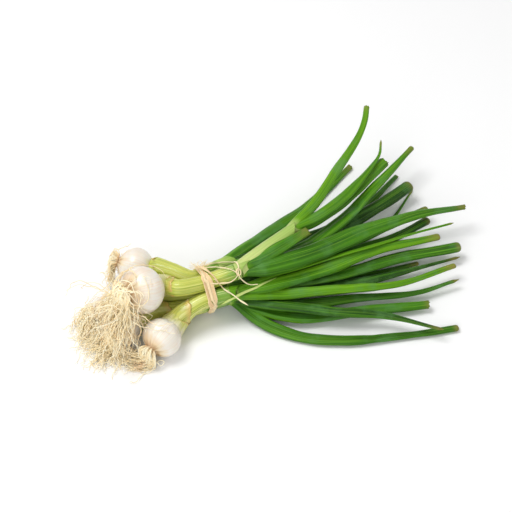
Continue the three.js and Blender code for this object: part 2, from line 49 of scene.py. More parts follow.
# A leaf is its name, width, tip width, points, far end, and where it starts if not at the fork.
onions = [
    {
        "name": "onion_5", "bulb": (-86, 23, 11.5), "radius": 13, "shoulder": 0.58, "rootLength": 38,
        "rootWay": (-0.97, 0.15, 0.10), "slot": 314, "stem": 7.4,
        "between": [(-50, 22, 12.5), (-26, 15, 14)], "fork": (18, 9, 17),
        "leaves": [
            ("f", 10, 5, [(60, 20, 10), (120, 30, 7), (174, 50, 3), (231, 81, 2)], "cut"),
            ("h", 6, 2.2, [(70, 14, 6), (130, 16, 3), (192, 26, 2), (237, 59, 1)], "point"),
            ("i", 10.5, 6.5, [(60, 8, 14), (120, 9, 11), (181, 15, 14), (232, 21, 16)], "round"),
            ("v", 10, 5, [(62, -4, 8), (115, -17, 5), (165, -25, 4), (200, -28, 4)], "round"),
            ("k", 13, 9, [(69, -4, 22), (129, -6, 21), (193, -2, 20), (224, 4, 20)], "round"),
        ],
    },
    {
        "name": "onion_4", "bulb": (-78, -5, 13.3), "radius": 15, "shoulder": 0.56, "rootLength": 38,
        "rootWay": (-0.93, -0.33, 0.14), "slot": 242, "stem": 7.4,
        "between": [(-50, 4, 12.5), (-29, 0, 11)], "fork": (16, -7, 15),
        "leaves": [
            ("s", 11, 7, [(37, -33, 6), (67, -66, 2), (100, -83, 2), (151, -98, 2), (200, -108, 2)], "round"),
            ("r", 13, 8.5, [(41, -25, 9), (73, -47, 7), (117, -59, 7), (186, -77, 7)], "cut"),
            ("q", 9, 4, [(77, -33, 8), (132, -48, 8), (186, -63, 9), (219, -64, 10)], "point"),
            ("t", 11, 3, [(51, -29, 17), (98, -58, 17), (138, -77, 15), (181, -110, 14)], "point"),
            ("o", 10.5, 3, [(60, -16, 12), (112, -27, 9), (179, -35, 8), (235, -38, 8)], "point"),
        ],
    },
    {
        "name": "onion_2", "bulb": (-52, -29, 16.5), "radius": 18, "shoulder": 0.66, "rootLength": 36,
        "rootWay": (-0.84, -0.54, -0.05), "slot": 170, "stem": 7.5,
        "between": [(-23, -15.5, 25)], "fork": (18, -15, 29),
        "leaves": [
            ("p", 10.5, 5.5, [(54, -25, 22), (107, -37, 19), (165, -52, 17), (225, -52, 16)], "round"),
            ("n", 12, 10, [(60, -14, 18), (113, -21, 16), (184, -23, 14), (239, -31, 14)], "round"),
            ("m", 13.5, 6.5, [(60, -19, 28), (106, -17, 25), (160, -13, 24), (224, -19, 22)], "round"),
            ("l", 4, 2.2, [(70, -13, 33), (130, -13, 32), (189, -11, 28), (240, -13, 28)], "point"),
        ],
    },
    {
        "name": "onion_3", "bulb": (-50, 47, 28.5), "radius": 18, "shoulder": 0.66, "rootLength": 44,
        "rootWay": (-0.80, 0.56, 0.2), "slot": 26, "stem": 7.5,
        "between": [(-34, 37, 31), (-22, 25, 34)], "fork": (18, 14, 33),
        "leaves": [
            ("U", 13, 6, [(45, 31, 24), (97, 57, 12), (143, 81, 2), (194, 110, 2)], "cut"),
            ("g", 14.5, 11.5, [(60, 20, 26), (102, 22, 24), (150, 27, 22), (190, 38, 20), (228, 52, 18)],
             "round"),
            ("e", 14.5, 5.5, [(60, 8, 32), (100, 6, 34), (143, 23, 34), (193, 53, 34), (246, 84, 34)],
             "round"),
        ],
    },
    {
        "name": "onion_1", "bulb": (-57, 5, 47), "radius": 21, "shoulder": 0.55, "rootLength": 60,
        "rootWay": (-0.86, -0.22, 0.42), "slot": 98, "stem": 7.6,
        "between": [(-25, -1, 42)], "fork": (28, -4, 43),
        "upper": [(28, -4, 43), (56, 6, 46), (92, 17, 50)],
        "leaves": [
            ("y", 12, 8.5, [(48, -2, 47), (76, 3, 50), (104, 10, 51)], "cut"),
            ("j", 17.5, 6, [(60, -10, 42), (111, -5, 38), (165, 3, 35), (215, 5, 32), (261, 1, 28)], "cut"),
            ("d", 15.5, 12, [(118, 25, 46), (163, 45, 40), (213, 75, 34)], "cut", "upper"),
            ("c", 10, 2.2, [(122, 24, 50), (160, 42, 46), (195, 68, 43), (210, 81, 43), (216, 91, 46)],
             "point", "upper"),
            ("b", 12, 6.5, [(122, 36, 55), (156, 62, 60), (194, 94, 64), (206, 108, 66), (213, 120, 68)],
             "cut", "upper"),
        ],
    },
]


def ease(t):
    c = np.clip(t, 0.0, 1.0)
    return c * c * (3 - 2 * c)


def unit(v):
    v = np.asarray(v, float)
    return v / np.maximum(np.linalg.norm(v, axis=-1, keepdims=True), 1e-12)


def phases(random, count):
    return random.uniform(0, 6.28, count)


def splineAt(points, t):
    # centripetal Catmull-Rom curve through the points
    p = np.asarray(points, float)
    held = np.vstack([2 * p[0] - p[1], p, 2 * p[-1] - p[-2]])
    spans = len(p) - 1
    x = np.clip(t, 0, 1) * spans
    i = np.minimum(x.astype(int), spans - 1)
    w = (x - i)[:, None]
    p0, p1, p2, p3 = held[i], held[i + 1], held[i + 2], held[i + 3]
    gap = [np.maximum(np.sum((b - a) ** 2, 1), 1e-12)[:, None] ** 0.25
           for a, b in ((p0, p1), (p1, p2), (p2, p3))]
    t1 = ((p1 - p0) / gap[0] - (p2 - p0) / (gap[0] + gap[1]) + (p2 - p1) / gap[1]) * gap[1]
    t2 = ((p2 - p1) / gap[1] - (p3 - p1) / (gap[1] + gap[2]) + (p3 - p2) / gap[2]) * gap[1]
    return p1 + t1 * w + (-3 * p1 + 3 * p2 - 2 * t1 - t2) * w ** 2 + (2 * p1 - 2 * p2 + t1 + t2) * w ** 3


def runAlong(line):
    # how far along a line each of its points is
    return np.concatenate([[0], np.cumsum(np.linalg.norm(np.diff(line, axis=0), axis=1))])


def evenRoute(points, steps, density=200):
    t = np.linspace(0, 1, density + 1)
    run = runAlong(splineAt(points, t))
    return splineAt(points, np.interp(np.linspace(0, run[-1], steps + 1), run, t)), float(run[-1])


# stems and leaves as lines with a width

# shares of the bulb's radius, but for the taper
stemShape = {"plate": 0.88, "bend": 1.25, "neckFrom": 1.3, "coneFrom": 1.2, "taper": 1.2, "least": 0.3}


def slotPoint(angle, x):
    a = math.radians(angle)
    r = bunch["slotRadius"]
    return np.array([x, r * math.cos(a), bunch["tieHeight"] + r * math.sin(a)])


def tieReach(onion):
    # distance along the stem from the root plate to the tie
    centre = np.array(onion["bulb"], float)
    toTie = np.linalg.norm(centre - slotPoint(onion["slot"], bunch["tieEnds"][0]))
    return onion["radius"] * stemShape["plate"] + toTie


def bulbRadius(onion, s):
    r = onion["radius"]
    s = np.asarray(s, float)
    t = s / (2 * r * stemShape["plate"])
    body = np.where(t < 1, r * np.sqrt(np.maximum(0, 1 - (2 * t - 1) ** 2)), 0)
    neck = stemShape["neckFrom"] * r
    left = 1 - ease((s - neck) / (tieReach(onion) - neck))
    cone = onion["stem"] + (r * onion["shoulder"] - onion["stem"]) * left ** stemShape["taper"]
    cone = np.where(s > stemShape["coneFrom"] * r, cone, 0)
    return np.maximum(np.maximum(body, cone), stemShape["least"] * r)


def stemGuide(onion):
    centre = np.array(onion["bulb"], float)
    way = unit(onion["rootWay"])
    r = onion["radius"]
    return [centre + way * r * stemShape["plate"], centre, centre - way * r * stemShape["bend"],
            *[np.array(p, float) for p in onion["between"]],
            *[slotPoint(onion["slot"], x) for x in bunch["tieEnds"]], np.array(onion["fork"], float)]


def leafSize(width, tipWidth, share):
    # half the width and half the height: thick and near round at the base, then flatter and narrower
    base = max(0.8 * width, 0.36 * width + 4.4) if width > 5 else width * 1.2
    grown = base + (width - base) * ease(share / 0.25)
    wide = grown + (tipWidth - grown) * ease((share - 0.35) / 0.65) ** 1.3
    flat = 0.95 - 0.33 * ease(share / 0.35) + 0.15 * ease((share - 0.8) / 0.2)
    return np.stack([wide / 2, wide * flat / 2], -1)


# leaves start a little past the stem's end, and their first part is held while the rest is pushed
leafStart = {"forkAhead": 5, "lean": 0.42, "heldFor": 2, "heldOver": 24}
upperStem = {"radius": 7.4, "narrower": 1.2, "flat": 0.93}


def makeStrands():
    steps = bunch["steps"]
    share = np.linspace(0, 1, steps + 1)
    strands = []

    def addStrand(onion, kind, name, route, size, free, **more):
        strands.append({"onion": onion["name"], "kind": kind, "name": name, "route": route[0],
                        "length": route[1], "size": size, "free": free, **more})

    for onion in onions:
        stem = evenRoute(stemGuide(onion), steps)
        radius = bulbRadius(onion, stem[1] * share)
        addStrand(onion, "stem", "stem", stem, np.stack([radius, radius], -1), 0 * share)
        stemWay = unit(stem[0][-1] - stem[0][-2])
        ends = {"fork": stem[0][-1] + stemWay * leafStart["forkAhead"]}
        if "upper" in onion:
            upper = evenRoute(onion["upper"], steps)
            radius = upperStem["radius"] - upperStem["narrower"] * share
            radii = np.stack([radius, radius * upperStem["flat"]], -1)
            addStrand(onion, "upper", "upper", upper, radii, 0 * share)
            ends["upper"] = upper[0][-3]
        for name, width, tipWidth, points, end, *start in onion["leaves"]:
            start = ends[start[0] if start else "fork"]
            lean = np.array(points[0], float) - start
            lean = lean - stemWay * lean.dot(stemWay)
            lean = lean * min(1, leafStart["lean"] * onion["stem"] / np.linalg.norm(lean))
            route = evenRoute([start + lean, *points], steps)
            free = ease((route[1] * share - leafStart["heldFor"]) / leafStart["heldOver"])
            addStrand(onion, "leaf", name, route, leafSize(width, tipWidth, share), free,
                      width=width, tipWidth=tipWidth, end=end)
    return strands


pushing = {
    "rounds": 60, "searchEvery": 6, "gap": 1.1, "together": 40, "byLeaf": 0.5, "byStem": 0.9, "most": 1.5,
    "lateFrom": 0.8, "springBack": 0.99, "smooth": 0.5, "lateSmooth": 0.25,
}


def layDown(strands):
    # leaves that would pass through each other push apart, a little in each round
    steps = bunch["steps"]
    now = np.array([s["route"] for s in strands])
    route = now.copy()
    size, length, owner = [np.array([s[key] for s in strands]) for key in ("size", "length", "onion")]
    free = np.array([s["free"] for s in strands])[:, :, None]
    isLeaf = np.array([s["kind"] == "leaf" for s in strands])
    leaves = np.flatnonzero(isLeaf)
    along = length[leaves][:, None] * np.arange(steps + 1) / steps
    same = owner[leaves][:, None] == owner[None]
    # no leaf is pushed by the stems of its own onion, nor by its leaves where they start together
    skip = (same & ~isLeaf[None])[:, None] | (same[:, None] & (along < pushing["together"])[..., None])
    skip |= (leaves[:, None] == np.arange(len(strands))[None])[:, None]
    weight = np.where(isLeaf, pushing["byLeaf"], pushing["byStem"])[None, None, :, None]
    other = np.arange(len(strands))[None, None, :, None]
    for turn in range(pushing["rounds"]):
        p = now[leaves][:, :, None, None]
        if turn % pushing["searchEvery"] == 0:
            middles = 0.5 * (now[:, :-1] + now[:, 1:])
            far = np.sum((p[..., :2] - middles[None, None, ..., :2]) ** 2, 4)
            nearest = np.clip(np.argmin(far, 3), 1, steps - 2)[..., None] + np.array([-1, 0, 1])
        a, b = now[other, nearest], now[other, nearest + 1]
        d = (b - a)[..., :2]
        t = np.clip(np.sum((p[..., :2] - a[..., :2]) * d, 4) / (np.sum(d * d, 4) + 1e-9), 0, 1)[..., None]
        o = p - (a + (b - a) * t)
        reach = size[leaves][:, :, None, None] + size[other, nearest] * (1 - t) + size[other, nearest + 1] * t
        reach = reach + pushing["gap"]
        level = np.sum(o[..., :2] ** 2, 4) / reach[..., 0] ** 2
        share = np.sqrt(level + o[..., 2] ** 2 / reach[..., 1] ** 2) + 1e-6
        k = np.argmin(share, 3)[..., None]
        best = np.take_along_axis(share, k, 3)
        o = np.take_along_axis(o, k[..., None], 3)[..., 0, :]
        reach = np.take_along_axis(reach, k[..., None], 3)[..., 0, :]
        grad = o / reach[..., [0, 0, 1]] ** 2
        grad[..., 2] = np.where(best[..., 0] < 0.02, 0.02, grad[..., 2])
        step = grad * (1 - best) * best / np.sum(grad ** 2, 3, keepdims=True)
        stepSize = np.maximum(np.linalg.norm(step, axis=3, keepdims=True), 1e-9)
        step = step * np.minimum(1, pushing["most"] / stepSize)
        hit = (best < 1) & ~skip[..., None]
        pushes = np.zeros_like(now)
        pushes[leaves] = np.sum(np.where(hit, step * weight, 0), 2)
        late = turn >= pushing["rounds"] * pushing["lateFrom"]
        smooth = pushing["lateSmooth"] if late else pushing["smooth"]
        shift = (now + pushes * free - route) * (1 if late else pushing["springBack"])
        for _ in range(1 if late else 2):
            moved = shift.copy()
            moved[:, 1:-1] += smooth * (0.5 * (shift[:, :-2] + shift[:, 2:]) - shift[:, 1:-1])
            moved[:, -1] += smooth * (shift[:, -2] - shift[:, -1])
            shift = np.where(free > 0, moved, 0)
        now[leaves] = (route + shift)[leaves]
        now[leaves, :, 2] = np.maximum(now[leaves, :, 2], size[leaves, :, 1])
    for strand, line in zip(strands, now):
        strand["now"] = line


strands = makeStrands()
layDown(strands)
print("stems and leaves laid out:", len(strands))


# rings of points, and tubes made of them

def toFrame(points):
    return (np.asarray(points, float) + np.array(bunch["shift"])) / 1000


def aboveFloor(points):
    points[..., 2] = np.maximum(points[..., 2], 0.0)
    return points


def anglesRound(sides, start=-math.pi / 2):
    return np.linspace(0, 2 * math.pi, sides, endpoint=False) + start


def sideAndRise(way, up=(0, 0, 1)):
    side = unit(np.cross(way, up))
    return side, np.cross(side, way)


def framesAlong(line):
    way = unit(np.gradient(line, axis=0))
    return way, *sideAndRise(way)


def circle(angle, side, rise, flat=1.0):
    return np.cos(angle)[:, None] * side[..., None, :] + flat * np.sin(angle)[:, None] * rise[..., None, :]


def turned(x, z, angle):
    c, s = np.cos(angle)[:, None], np.sin(angle)[:, None]
    return x * c - z * s, x * s + z * c


def ringsAt(line, side, rise, x, z):
    return line[:, None] + side[:, None] * x[..., None] + rise[:, None] * z[..., None]


def newSkin():
    return {"points": [], "faces": [], "uv": [], "tone": [], "share": [], "dry": [], "count": 0}


def addTube(skin, rings, along, share, tone, dry=0.0):
    # rings: rows x columns x 3; u runs round the tube and v along it in metres
    rows, cols = rings.shape[:2]
    first = skin["count"]
    skin["points"] += [rings.reshape(-1, 3), np.array([rings[0].mean(0), rings[-1].mean(0)])]
    for key, values in (("share", share), ("dry", dry)):
        full = np.broadcast_to(np.reshape(values, (-1, 1)) if np.ndim(values) < 2 else values, (rows, cols))
        skin[key] += [full.ravel(), np.array([full[0].mean(), full[-1].mean()])]
    skin["tone"].append(np.full(rows * cols + 2, tone))
    skin["count"] += rows * cols + 2
    v = np.asarray(along, float) / 1000
    here = np.arange(cols)
    after = (here + 1) % cols
    for r in range(rows - 1):
        low, high = first + r * cols, first + (r + 1) * cols
        skin["faces"] += np.stack([low + here, high + here, high + after, low + after], 1).tolist()
        for c in range(cols):
            u, nextU = c / cols, (c + 1) / cols
            skin["uv"] += [(u, v[r]), (u, v[r + 1]), (nextU, v[r + 1]), (nextU, v[r])]
    for end, row in ((0, 0), (1, rows - 1)):
        base = first + row * cols
        for c in range(cols):
            a, b = (c, c + 1) if end == 0 else (c + 1, c)
            skin["faces"].append((base + a % cols, base + b % cols, first + rows * cols + end))
            skin["uv"] += [(a / cols, v[row]), (b / cols, v[row]), ((c + 0.5) / cols, v[row])]


def newObject(name, data):
    made = bpy.data.objects.new(name, data)
    bpy.context.collection.objects.link(made)
    return made


def setAttributes(mesh, values):
    for key, numbers in values.items():
        layer = mesh.attributes.new(key, "FLOAT", "POINT")
        layer.data.foreach_set("value", numbers.astype(np.float32))


def skinObject(name, skin, material):
    mesh = bpy.data.meshes.new(name)
    mesh.from_pydata(toFrame(np.concatenate(skin["points"])).tolist(), [], skin["faces"])
    uv = mesh.uv_layers.new(name="skinUv")
    uv.data.foreach_set("uv", np.array(skin["uv"], np.float32).ravel())
    setAttributes(mesh, {key: np.concatenate(skin[key]) for key in ("tone", "share", "dry")})
    mesh.polygons.foreach_set("use_smooth", [True] * len(mesh.polygons))
    mesh.validate()
    mesh.update()
    mesh.materials.append(material)
    return newObject(name, mesh)


# materials

def newMaterial(name):
    material = bpy.data.materials.new(name)
    material.use_nodes = True
    return material, material.node_tree, material.node_tree.nodes["Principled BSDF"]


def feed(tree, made, values):
    # an input takes either another node's socket or a plain value
    for key, value in values.items():
        if isinstance(value, bpy.types.NodeSocket):
            tree.links.new(value, made.inputs[key])
        else:
            made.inputs[key].default_value = value


def node(tree, kind, values=None, **settings):
    made = tree.nodes.new(kind)
    for key, value in settings.items():
        setattr(made, key, value)
    feed(tree, made, values or {})
    return made


def math2(tree, operation, a, b):
    return node(tree, "ShaderNodeMath", {0: a, 1: b}, operation=operation).outputs[0]


def remap(tree, value, low, high, toLow=0.0, toHigh=1.0):
    values = {"Value": value, "From Min": low, "From Max": high, "To Min": toLow, "To Max": toHigh}
    return node(tree, "ShaderNodeMapRange", values, clamp=True).outputs["Result"]


def mixColour(tree, factor, a, b):
    colours = {k: (*v, 1) if isinstance(v, tuple) else v for k, v in ((6, a), (7, b))}
    return node(tree, "ShaderNodeMix", {0: factor, **colours}, data_type="RGBA").outputs[2]


def colourRamp(tree, value, stops):
    made = node(tree, "ShaderNodeValToRGB", {0: value})
    elements = made.color_ramp.elements
    while len(elements) < len(stops):
        elements.new(0.5)
    for element, (place, colour) in zip(elements, stops):
        element.position = place
        element.color = (*colour, 1)
    return made.outputs[0]


def noiseOn(tree, vector, scale, detail=3.0, roughness=0.5):
    values = {"Vector": vector, "Scale": scale, "Detail": detail, "Roughness": roughness}
    return node(tree, "ShaderNodeTexNoise", values).outputs["Fac"]


def attributes(tree, *names):
    return [node(tree, "ShaderNodeAttribute", attribute_type="GEOMETRY", attribute_name=name).outputs["Fac"]
            for name in names]


def objectPlace(tree):
    return node(tree, "ShaderNodeTexCoord").outputs["Object"]


def stretchedUv(tree, acrossScale, alongScale, tone):
    # a vector that is fine round the piece and drawn out along it, different for each strand
    toneStep = 37.0
    uv = node(tree, "ShaderNodeUVMap", uv_map="skinUv").outputs[0]
    u, v = node(tree, "ShaderNodeSeparateXYZ", {0: uv}).outputs[:2]
    pairs = ((u, acrossScale), (v, alongScale), (tone, toneStep))
    scaled = {k: math2(tree, "MULTIPLY", *pair) for k, pair in enumerate(pairs)}
    return node(tree, "ShaderNodeCombineXYZ", scaled).outputs[0]


def bumpFrom(tree, height, strength, distance):
    values = {"Height": height, "Strength": strength, "Distance": distance}
    return node(tree, "ShaderNodeBump", values).outputs[0]


leafLook = {
    "base": (0.55, 0.64, 0.22), "lime": (0.135, 0.34, 0.006), "mid": (0.045, 0.185, 0.007),
    # deep is a near-black green, partly the darkest leaves' own colour and partly painted shade for the gaps
    # between leaves; line is the paler vein colour, partly painted highlight along the blades
    "deep": (0.001, 0.032, 0.004), "wax": (0.10, 0.26, 0.075), "line": (0.21, 0.44, 0.03),
    "tip": (0.30, 0.22, 0.06),
    "finish": {"Specular IOR Level": 0.17, "Subsurface Weight": 0.08, "Subsurface Radius": (0.4, 1.0, 0.2),
               "Subsurface Scale": 0.0015},
}


def makeLeafMaterial():
    # share 0 is the pale sheath, 1 the full green; dry browns the tips
    material, tree, shader = newMaterial("onionLeaf")
    tone, share, dry = attributes(tree, "tone", "share", "dry")
    place = objectPlace(tree)
    broad = noiseOn(tree, stretchedUv(tree, 9.0, 9.0, tone), 1.0, 3, 0.55)
    veins = noiseOn(tree, stretchedUv(tree, 60.0, 7.0, tone), 1.0, 3, 0.65)
    cloud = noiseOn(tree, place, 38.0, 4, 0.6)
    spots = noiseOn(tree, place, 260.0, 3, 0.6)
    # each leaf's tone plus broad noise picks its green; the near-black deep end is partly painted shade for
    # the lower leaves and the gaps between them
    toneAndShade = math2(tree, "ADD", tone, remap(tree, broad, 0.3, 0.7, -0.28, 0.28))
    greens = [(0.0, leafLook["lime"]), (0.45, leafLook["mid"]), (0.95, leafLook["deep"])]
    body = colourRamp(tree, toneAndShade, greens)
    # paler vein stripes, strengthened partly as painted highlight along the blades, then dark streaks in the
    # deep green, which is partly painted shade
    body = mixColour(tree, remap(tree, veins, 0.51, 0.70, 0.0, 0.75), body, leafLook["line"])
    body = mixColour(tree, remap(tree, veins, 0.48, 0.28, 0.0, 0.9), body, leafLook["deep"])
    body = mixColour(tree, remap(tree, cloud, 0.50, 0.70, 0.0, 0.6), body, leafLook["wax"])
    wander = math2(tree, "ADD", share, remap(tree, veins, 0.3, 0.7, -0.16, 0.16))
    body = mixColour(tree, remap(tree, wander, 0.55, 1.0, 1.0, 0.0), body, leafLook["lime"])
    body = mixColour(tree, remap(tree, wander, 0.05, 0.65, 1.0, 0.0), body, leafLook["base"])
    brown = math2(tree, "MULTIPLY", dry, remap(tree, spots, 0.3, 0.65, 0.35, 1.0))
    body = mixColour(tree, brown, body, leafLook["tip"])
    feed(tree, shader, {"Base Color": body, "Roughness": remap(tree, cloud, 0.35, 0.65, 0.34, 0.55),
                        "Normal": bumpFrom(tree, veins, 0.4, 0.0004), **leafLook["finish"]})
    return material


bulbLook = {
    "plate": (0.48, 0.30, 0.13), "cream": (0.82, 0.68, 0.44), "pearl": (0.86, 0.82, 0.73),
    "shoulder": (0.78, 0.75, 0.38), "neck": (0.58, 0.61, 0.11), "green": (0.17, 0.36, 0.03),
    # pale is a whitish yellow-green for streaks on the neck, partly the neck's own pale lines and partly
    # painted highlight
    "vein": (0.22, 0.32, 0.02), "blush": (0.82, 0.60, 0.42), "pale": (0.80, 0.82, 0.36),
    "dryEdge": (0.70, 0.44, 0.12),
    "stops": ((0.0, "plate"), (0.035, "cream"), (0.11, "pearl"), (0.38, "pearl"), (0.47, "shoulder"),
              (0.57, "neck"), (0.90, "neck"), (1.0, "green")),
    "finish": {"Coat Weight": 0.3, "Coat Roughness": 0.18, "Subsurface Weight": 0.25,
               "Subsurface Radius": (1.0, 0.8, 0.5), "Subsurface Scale": 0.003},
}


def makeBulbMaterial():
    # share runs 0 to 0.5 over the ball and on to 0.9 at the tie
    material, tree, shader = newMaterial("onionBulb")
    tone, share, dry = attributes(tree, "tone", "share", "dry")
    wander = noiseOn(tree, stretchedUv(tree, 14.0, 6.0, tone), 1.0, 3, 0.6)
    lines = noiseOn(tree, stretchedUv(tree, 46.0, 6.0, tone), 1.0, 3, 0.65)
    veins = noiseOn(tree, stretchedUv(tree, 120.0, 4.0, tone), 1.0, 2, 0.6)
    blush = noiseOn(tree, objectPlace(tree), 46.0, 3)
    shifted = math2(tree, "ADD", share, remap(tree, wander, 0.25, 0.75, -0.07, 0.07))
    body = colourRamp(tree, shifted, [(place, bulbLook[key]) for place, key in bulbLook["stops"]])
    onBall = remap(tree, share, 0.50, 0.36)
    onNeck = remap(tree, share, 0.42, 0.60)
    for pattern, low, high, amount, where, colour in (
            (blush, 0.46, 0.70, 0.5, onBall, "blush"), (veins, 0.50, 0.66, 0.45, onBall, "blush"),
            # dark olive lines on the neck, then pale streaks that are partly painted highlight
            (lines, 0.52, 0.68, 0.85, onNeck, "vein"), (lines, 0.45, 0.32, 0.8, onNeck, "pale")):
        part = math2(tree, "MULTIPLY", remap(tree, pattern, low, high, 0.0, amount), where)
        body = mixColour(tree, part, body, bulbLook[colour])
    body = mixColour(tree, dry, body, bulbLook["dryEdge"])
    relief = math2(tree, "ADD", lines, math2(tree, "MULTIPLY", veins, 0.5))
    feed(tree, shader, {"Base Color": body, "Roughness": remap(tree, blush, 0.3, 0.7, 0.24, 0.42),
                        "Normal": bumpFrom(tree, relief, 0.35, 0.0005), **bulbLook["finish"]})
    return material


rootLook = {
    "pale": (0.99, 0.94, 0.73), "straw": (0.99, 0.81, 0.49), "brown": (0.74, 0.40, 0.16), "roughness": 0.7,
}


def makeRootMaterial():
    material, tree, shader = newMaterial("onionRoot")
    tone, share = attributes(tree, "tone", "share")
    place = objectPlace(tree)
    speck = noiseOn(tree, place, 420.0, 3, 0.6)
    stain = noiseOn(tree, place, 90.0, 2)
    body = mixColour(tree, tone, rootLook["pale"], rootLook["straw"])
    body = mixColour(tree, remap(tree, speck, 0.52, 0.78, 0.0, 0.6), body, rootLook["straw"])
    body = mixColour(tree, remap(tree, stain, 0.55, 0.76, 0.0, 0.6), body, rootLook["brown"])
    body = mixColour(tree, remap(tree, share, 0.12, 0.0, 0.0, 0.5), body, rootLook["brown"])
    feed(tree, shader, {"Base Color": body, "Roughness": rootLook["roughness"],
                        "Normal": bumpFrom(tree, speck, 0.3, 0.0002)})
    return material


raffiaLook = {
    "light": (0.97, 0.86, 0.55), "tan": (0.88, 0.56, 0.27), "dark": (0.52, 0.27, 0.09),
    "finish": {"Roughness": 0.6, "Sheen Weight": 0.15},
}


def makeRaffiaMaterial():
    material, tree, shader = newMaterial("raffia")
    tone, = attributes(tree, "tone")
    fibres = noiseOn(tree, stretchedUv(tree, 34.0, 30.0, tone), 1.0, 4, 0.65)
    body = mixColour(tree, tone, raffiaLook["tan"], raffiaLook["light"])
    body = mixColour(tree, remap(tree, fibres, 0.5, 0.72, 0.0, 0.7), body, raffiaLook["light"])
    body = mixColour(tree, remap(tree, fibres, 0.46, 0.28, 0.0, 0.6), body, raffiaLook["dark"])
    feed(tree, shader, {"Base Color": body, "Normal": bumpFrom(tree, fibres, 0.6, 0.0004),
                        **raffiaLook["finish"]})
    return material


leafMaterial = makeLeafMaterial()
bulbMaterial = makeBulbMaterial()
rootMaterial = makeRootMaterial()
raffiaMaterial = makeRaffiaMaterial()
print("materials made")


# leaves

leafShape = {
    "rings": 120, "sides": 28, "wider": 0.5, "ribs": 11, "ribDepth": 0.010, "waver": 0.3, "groove": 0.30,
    "grooveWidth": 0.36, "twist": 0.3, "dents": 3, "dentDepth": 0.32, "swell": 0.035, "seed": 41,
    "greenBy": {"b": 28, "c": 18, "d": 24, "y": 16, "j": 9}, "greenByElse": 10,
    "paleOnions": ("onion_1", "onion_3"), "greenByOnPale": 20,
    "slimStart": {"j": 0.55, "m": 0.7}, "slimOver": 24, "slimWhole": {"b": 0.82, "d": 0.92},
    "dryTips": ("U", "y"), "dryOver": 26,
    # a higher tone is a darker green: each leaf's own shade of green, with the lower leaves set darker as
    # painted shade where others lie over them
    "tonesWithShade": {
        "U": 0.45, "v": 0.95, "f": 0.75, "h": 0.45, "i": 0.65, "k": 0.80, "s": 0.62, "r": 0.46, "q": 0.62,
        "t": 0.85, "o": 1.0, "p": 0.10, "n": 0.60, "m": 0.24, "l": 0.20, "g": 1.0, "e": 0.48, "y": 0.62,
        "j": 0.66, "d": 0.30, "c": 0.34, "b": 0.14,
    },
    # how far ahead (a cut end in millimetres, others in tip widths), scale, share of the slant
    "ends": {
        "cut": [(0.50, 1.02, 1), (0.62, 0.97, 1), (0.50, 0.90, 1), (-1.5, 0.84, 0.6), (-5, 0.74, 0),
                (-6, 0.3, 0)],
        "round": [(0.14, 0.94, 0), (0.26, 0.80, 0), (0.34, 0.58, 0), (0.39, 0.28, 0)],
        "point": [(0.4, 0.8, 0), (0.8, 0.55, 0), (1.2, 0.32, 0), (1.55, 0.12, 0)],
    },
}


def leafRings(strand, random):
    share = np.linspace(0, 1, leafShape["rings"]) ** 0.92
    along = share * strand["length"]
    line = splineAt(strand["now"], share)
    size = leafSize(strand["width"], strand["tipWidth"], share)
    size[:, 0] += 0.5 * leafShape["wider"] * ease(along / 30) * ease((1 - share) / 0.2)
    slim = leafShape["slimStart"].get(strand["name"], 1)
    slim = slim + (1 - slim) * ease(along / leafShape["slimOver"])
    size *= leafShape["slimWhole"].get(strand["name"], 1) * slim[:, None]
    way, side, rise = framesAlong(line)
    phase = phases(random, 8)
    swell = 1 + leafShape["swell"] * np.sin(along / random.uniform(9, 14) + phase[0])
    swell = swell + 0.02 * np.sin(along / 5.3 + phase[1])
    line = line + side * (leafShape["waver"] * np.sin(along / 13 + phase[2]) * ease(along / 30))[:, None]
    twist = leafShape["twist"] * np.sin(along / random.uniform(40, 70) + phase[3]) * ease(along / 40)
    dent = np.zeros(len(share))
    for _ in range(leafShape["dents"]):
        at = random.uniform(0.3, 0.95) * strand["length"]
        depth = random.uniform(0.0, leafShape["dentDepth"])
        dent += depth * np.exp(-((along - at) / random.uniform(4, 9)) ** 2)
    angle = anglesRound(leafShape["sides"])
    crease = math.pi / 2 + random.uniform(-0.75, 0.35)
    groove = leafShape["groove"] * ease(along / 25) * (1 - 0.7 * ease((share - 0.7) / 0.3))
    top = np.exp(-((angle - crease) / leafShape["grooveWidth"]) ** 2)
    rib = 1 + leafShape["ribDepth"] * np.sin(leafShape["ribs"] * angle + phase[4])
    x = np.cos(angle) * (size[:, :1] * swell[:, None]) * rib * (1 + 0.08 * dent[:, None])
    z = np.sin(angle) * (size[:, 1:] * swell[:, None]) * rib
    z = z * (1 - groove[:, None] * top) * (1 - dent[:, None])
    return aboveFloor(ringsAt(line, side, rise, *turned(x, z, twist))), along, way


def closeLeaf(strand, points, way, random):
    # the far end: cut and hollow, blunt, or drawn out to a dry point
    centre = points[-1].mean(0)
    last = points[-1] - centre
    tip = strand["tipWidth"]
    slant = np.zeros(len(last))
    if strand["end"] == "cut":
        slant = (last @ unit(last[0])) * random.uniform(-0.5, 0.5)
        slant = slant + random.uniform(-0.12, 0.12, len(last)) * tip
    scaleBy = 1 if strand["end"] == "cut" else tip
    steps = [(move * scaleBy, scale, tilt) for move, scale, tilt in leafShape["ends"][strand["end"]]]
    extra = [centre + last * scale + way[-1] * (move + tilt * slant)[:, None] for move, scale, tilt in steps]
    return np.concatenate([points, aboveFloor(np.array(extra))]), [abs(step[0]) for step in steps]


